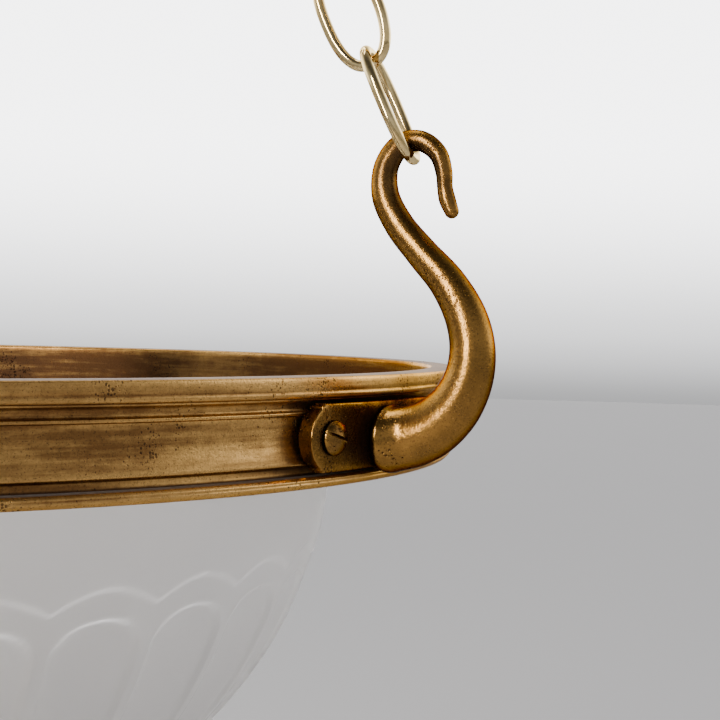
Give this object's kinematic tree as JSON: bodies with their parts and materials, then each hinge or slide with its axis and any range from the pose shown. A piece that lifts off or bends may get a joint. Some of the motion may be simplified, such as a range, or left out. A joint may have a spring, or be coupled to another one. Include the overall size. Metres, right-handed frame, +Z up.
{
  "type": "hanging bowl ceiling light",
  "caption": "Ceiling light: a frosted glass bowl in a moulded brass ring, hung by chains from cast hooks to an armed crown, a ring and a ceiling hook.",
  "frame": {"origin": "centre of the ceiling plate's flat top face, which meets the ceiling", "axes": "+Z up, against the ceiling; -Y towards the first chain; the whole light hangs below the origin"},
  "size_m": [0.3966, 0.4248, 0.628],
  "materials": {
    "aged_brass": "aged, dark in the mouldings",
    "cast_brass": "aged casting, rubbed bright on the high parts",
    "chain_brass": "polished",
    "tube_brass": "satin",
    "plated_steel": "plated",
    "moulding": "moulded phenolic",
    "frosted_glass": "frosted, pressed with petals",
    "clear_glass": "clear"
  },
  "bodies": {
    "ceiling_fixture": {"ceiling_plate": "tube_brass", "ceiling_screw_1": "plated_steel", "ceiling_screw_2": "plated_steel", "ceiling_screw_3": "plated_steel", "ceiling_hook": "cast_brass", "ceiling_hook_nut": "tube_brass"},
    "top_ring_body": {"top_ring": "chain_brass"},
    "pendant": {"crown": "cast_brass", "drop_stem": "tube_brass", "stem_nut": "tube_brass", "lampholder_cap": "tube_brass", "lampholder_body": "tube_brass", "lampholder_insulator": "moulding", "gallery_ring": "aged_brass", "hook_1": "cast_brass", "hook_2": "cast_brass", "hook_3": "cast_brass", "hook_screw_1a": "cast_brass", "hook_screw_1b": "cast_brass", "hook_screw_2a": "cast_brass", "hook_screw_2b": "cast_brass", "hook_screw_3a": "cast_brass", "hook_screw_3b": "cast_brass"},
    "bowl": {"glass_bowl": "frosted_glass"},
    "bulb": {"bulb_cap": "plated_steel", "bulb_glass": "clear_glass"},
    "link_1_01": {"chain_1_link_01": "chain_brass"},
    "link_1_02": {"chain_1_link_02": "chain_brass"},
    "link_1_03": {"chain_1_link_03": "chain_brass"},
    "link_1_04": {"chain_1_link_04": "chain_brass"},
    "link_1_05": {"chain_1_link_05": "chain_brass"},
    "link_1_06": {"chain_1_link_06": "chain_brass"},
    "link_1_07": {"chain_1_link_07": "chain_brass"},
    "link_1_08": {"chain_1_link_08": "chain_brass"},
    "link_1_09": {"chain_1_link_09": "chain_brass"},
    "link_1_10": {"chain_1_link_10": "chain_brass"},
    "link_1_11": {"chain_1_link_11": "chain_brass"},
    "link_2_01": {"chain_2_link_01": "chain_brass"},
    "link_2_02": {"chain_2_link_02": "chain_brass"},
    "link_2_03": {"chain_2_link_03": "chain_brass"},
    "link_2_04": {"chain_2_link_04": "chain_brass"},
    "link_2_05": {"chain_2_link_05": "chain_brass"},
    "link_2_06": {"chain_2_link_06": "chain_brass"},
    "link_2_07": {"chain_2_link_07": "chain_brass"},
    "link_2_08": {"chain_2_link_08": "chain_brass"},
    "link_2_09": {"chain_2_link_09": "chain_brass"},
    "link_2_10": {"chain_2_link_10": "chain_brass"},
    "link_2_11": {"chain_2_link_11": "chain_brass"},
    "link_3_01": {"chain_3_link_01": "chain_brass"},
    "link_3_02": {"chain_3_link_02": "chain_brass"},
    "link_3_03": {"chain_3_link_03": "chain_brass"},
    "link_3_04": {"chain_3_link_04": "chain_brass"},
    "link_3_05": {"chain_3_link_05": "chain_brass"},
    "link_3_06": {"chain_3_link_06": "chain_brass"},
    "link_3_07": {"chain_3_link_07": "chain_brass"},
    "link_3_08": {"chain_3_link_08": "chain_brass"},
    "link_3_09": {"chain_3_link_09": "chain_brass"},
    "link_3_10": {"chain_3_link_10": "chain_brass"},
    "link_3_11": {"chain_3_link_11": "chain_brass"}
  },
  "joints": [
    {"name": "swing_on_hook", "type": "hinge", "parent": "ceiling_fixture", "child": "top_ring_body", "pos_m": [0, 0, -0.0569], "axis": [1, 0, 0], "range_deg": [-20, 20]},
    {"name": "swing_on_ring", "type": "hinge", "parent": "top_ring_body", "child": "pendant", "pos_m": [0, 0, -0.0848], "axis": [0, 1, 0], "range_deg": [-20, 20]},
    {"name": "bowl_lift", "type": "slide", "parent": "pendant", "child": "bowl", "axis": [0, 0, 1], "range_m": [0, 0.06]},
    {"name": "bulb_turn", "type": "hinge", "parent": "pendant", "child": "bulb", "pos_m": [0, 0, -0.44596], "axis": [0, 0, 1], "range_deg": [0, 20]},
    {"name": "swivel_1_01", "type": "hinge", "parent": "pendant", "child": "link_1_01", "pos_m": [0, -0.19806, -0.38086], "axis": [0, 0.4321, 0.9018], "range_deg": [-15, 8]},
    {"name": "swivel_1_02", "type": "hinge", "parent": "pendant", "child": "link_1_02", "pos_m": [0, -0.18679, -0.35732], "axis": [0, 0.4321, 0.9018], "range_deg": [-15, 15]},
    {"name": "swivel_1_03", "type": "hinge", "parent": "pendant", "child": "link_1_03", "pos_m": [0, -0.17551, -0.33378], "axis": [0, 0.4321, 0.9018], "range_deg": [-15, 15]},
    {"name": "swivel_1_04", "type": "hinge", "parent": "pendant", "child": "link_1_04", "pos_m": [0, -0.16423, -0.31024], "axis": [0, 0.4321, 0.9018], "range_deg": [-15, 15]},
    {"name": "swivel_1_05", "type": "hinge", "parent": "pendant", "child": "link_1_05", "pos_m": [0, -0.15296, -0.2867], "axis": [0, 0.4321, 0.9018], "range_deg": [-15, 15]},
    {"name": "swivel_1_06", "type": "hinge", "parent": "pendant", "child": "link_1_06", "pos_m": [0, -0.14168, -0.26317], "axis": [0, 0.4321, 0.9018], "range_deg": [-15, 15]},
    {"name": "swivel_1_07", "type": "hinge", "parent": "pendant", "child": "link_1_07", "pos_m": [0, -0.1304, -0.23963], "axis": [0, 0.4321, 0.9018], "range_deg": [-15, 15]},
    {"name": "swivel_1_08", "type": "hinge", "parent": "pendant", "child": "link_1_08", "pos_m": [0, -0.11912, -0.21609], "axis": [0, 0.4321, 0.9018], "range_deg": [-15, 15]},
    {"name": "swivel_1_09", "type": "hinge", "parent": "pendant", "child": "link_1_09", "pos_m": [0, -0.10785, -0.19255], "axis": [0, 0.4321, 0.9018], "range_deg": [-15, 15]},
    {"name": "swivel_1_10", "type": "hinge", "parent": "pendant", "child": "link_1_10", "pos_m": [0, -0.09657, -0.16902], "axis": [0, 0.4321, 0.9018], "range_deg": [-15, 15]},
    {"name": "swivel_1_11", "type": "hinge", "parent": "pendant", "child": "link_1_11", "pos_m": [0, -0.08529, -0.14548], "axis": [0, 0.4321, 0.9018], "range_deg": [-15, 15]},
    {"name": "swivel_2_01", "type": "hinge", "parent": "pendant", "child": "link_2_01", "pos_m": [0.17153, 0.09903, -0.38086], "axis": [-0.3742, -0.216, 0.9018], "range_deg": [-15, 8]},
    {"name": "swivel_2_02", "type": "hinge", "parent": "pendant", "child": "link_2_02", "pos_m": [0.16176, 0.09339, -0.35732], "axis": [-0.3742, -0.216, 0.9018], "range_deg": [-15, 15]},
    {"name": "swivel_2_03", "type": "hinge", "parent": "pendant", "child": "link_2_03", "pos_m": [0.152, 0.08775, -0.33378], "axis": [-0.3742, -0.216, 0.9018], "range_deg": [-15, 15]},
    {"name": "swivel_2_04", "type": "hinge", "parent": "pendant", "child": "link_2_04", "pos_m": [0.14223, 0.08212, -0.31024], "axis": [-0.3742, -0.216, 0.9018], "range_deg": [-15, 15]},
    {"name": "swivel_2_05", "type": "hinge", "parent": "pendant", "child": "link_2_05", "pos_m": [0.13246, 0.07648, -0.2867], "axis": [-0.3742, -0.216, 0.9018], "range_deg": [-15, 15]},
    {"name": "swivel_2_06", "type": "hinge", "parent": "pendant", "child": "link_2_06", "pos_m": [0.1227, 0.07084, -0.26317], "axis": [-0.3742, -0.216, 0.9018], "range_deg": [-15, 15]},
    {"name": "swivel_2_07", "type": "hinge", "parent": "pendant", "child": "link_2_07", "pos_m": [0.11293, 0.0652, -0.23963], "axis": [-0.3742, -0.216, 0.9018], "range_deg": [-15, 15]},
    {"name": "swivel_2_08", "type": "hinge", "parent": "pendant", "child": "link_2_08", "pos_m": [0.10316, 0.05956, -0.21609], "axis": [-0.3742, -0.216, 0.9018], "range_deg": [-15, 15]},
    {"name": "swivel_2_09", "type": "hinge", "parent": "pendant", "child": "link_2_09", "pos_m": [0.0934, 0.05392, -0.19255], "axis": [-0.3742, -0.216, 0.9018], "range_deg": [-15, 15]},
    {"name": "swivel_2_10", "type": "hinge", "parent": "pendant", "child": "link_2_10", "pos_m": [0.08363, 0.04828, -0.16902], "axis": [-0.3742, -0.216, 0.9018], "range_deg": [-15, 15]},
    {"name": "swivel_2_11", "type": "hinge", "parent": "pendant", "child": "link_2_11", "pos_m": [0.07386, 0.04265, -0.14548], "axis": [-0.3742, -0.216, 0.9018], "range_deg": [-15, 15]},
    {"name": "swivel_3_01", "type": "hinge", "parent": "pendant", "child": "link_3_01", "pos_m": [-0.17153, 0.09903, -0.38086], "axis": [0.3742, -0.216, 0.9018], "range_deg": [-15, 8]},
    {"name": "swivel_3_02", "type": "hinge", "parent": "pendant", "child": "link_3_02", "pos_m": [-0.16176, 0.09339, -0.35732], "axis": [0.3742, -0.216, 0.9018], "range_deg": [-15, 15]},
    {"name": "swivel_3_03", "type": "hinge", "parent": "pendant", "child": "link_3_03", "pos_m": [-0.152, 0.08775, -0.33378], "axis": [0.3742, -0.216, 0.9018], "range_deg": [-15, 15]},
    {"name": "swivel_3_04", "type": "hinge", "parent": "pendant", "child": "link_3_04", "pos_m": [-0.14223, 0.08212, -0.31024], "axis": [0.3742, -0.216, 0.9018], "range_deg": [-15, 15]},
    {"name": "swivel_3_05", "type": "hinge", "parent": "pendant", "child": "link_3_05", "pos_m": [-0.13246, 0.07648, -0.2867], "axis": [0.3742, -0.216, 0.9018], "range_deg": [-15, 15]},
    {"name": "swivel_3_06", "type": "hinge", "parent": "pendant", "child": "link_3_06", "pos_m": [-0.1227, 0.07084, -0.26317], "axis": [0.3742, -0.216, 0.9018], "range_deg": [-15, 15]},
    {"name": "swivel_3_07", "type": "hinge", "parent": "pendant", "child": "link_3_07", "pos_m": [-0.11293, 0.0652, -0.23963], "axis": [0.3742, -0.216, 0.9018], "range_deg": [-15, 15]},
    {"name": "swivel_3_08", "type": "hinge", "parent": "pendant", "child": "link_3_08", "pos_m": [-0.10316, 0.05956, -0.21609], "axis": [0.3742, -0.216, 0.9018], "range_deg": [-15, 15]},
    {"name": "swivel_3_09", "type": "hinge", "parent": "pendant", "child": "link_3_09", "pos_m": [-0.0934, 0.05392, -0.19255], "axis": [0.3742, -0.216, 0.9018], "range_deg": [-15, 15]},
    {"name": "swivel_3_10", "type": "hinge", "parent": "pendant", "child": "link_3_10", "pos_m": [-0.08363, 0.04828, -0.16902], "axis": [0.3742, -0.216, 0.9018], "range_deg": [-15, 15]},
    {"name": "swivel_3_11", "type": "hinge", "parent": "pendant", "child": "link_3_11", "pos_m": [-0.07386, 0.04265, -0.14548], "axis": [0.3742, -0.216, 0.9018], "range_deg": [-15, 15]}
  ]
}
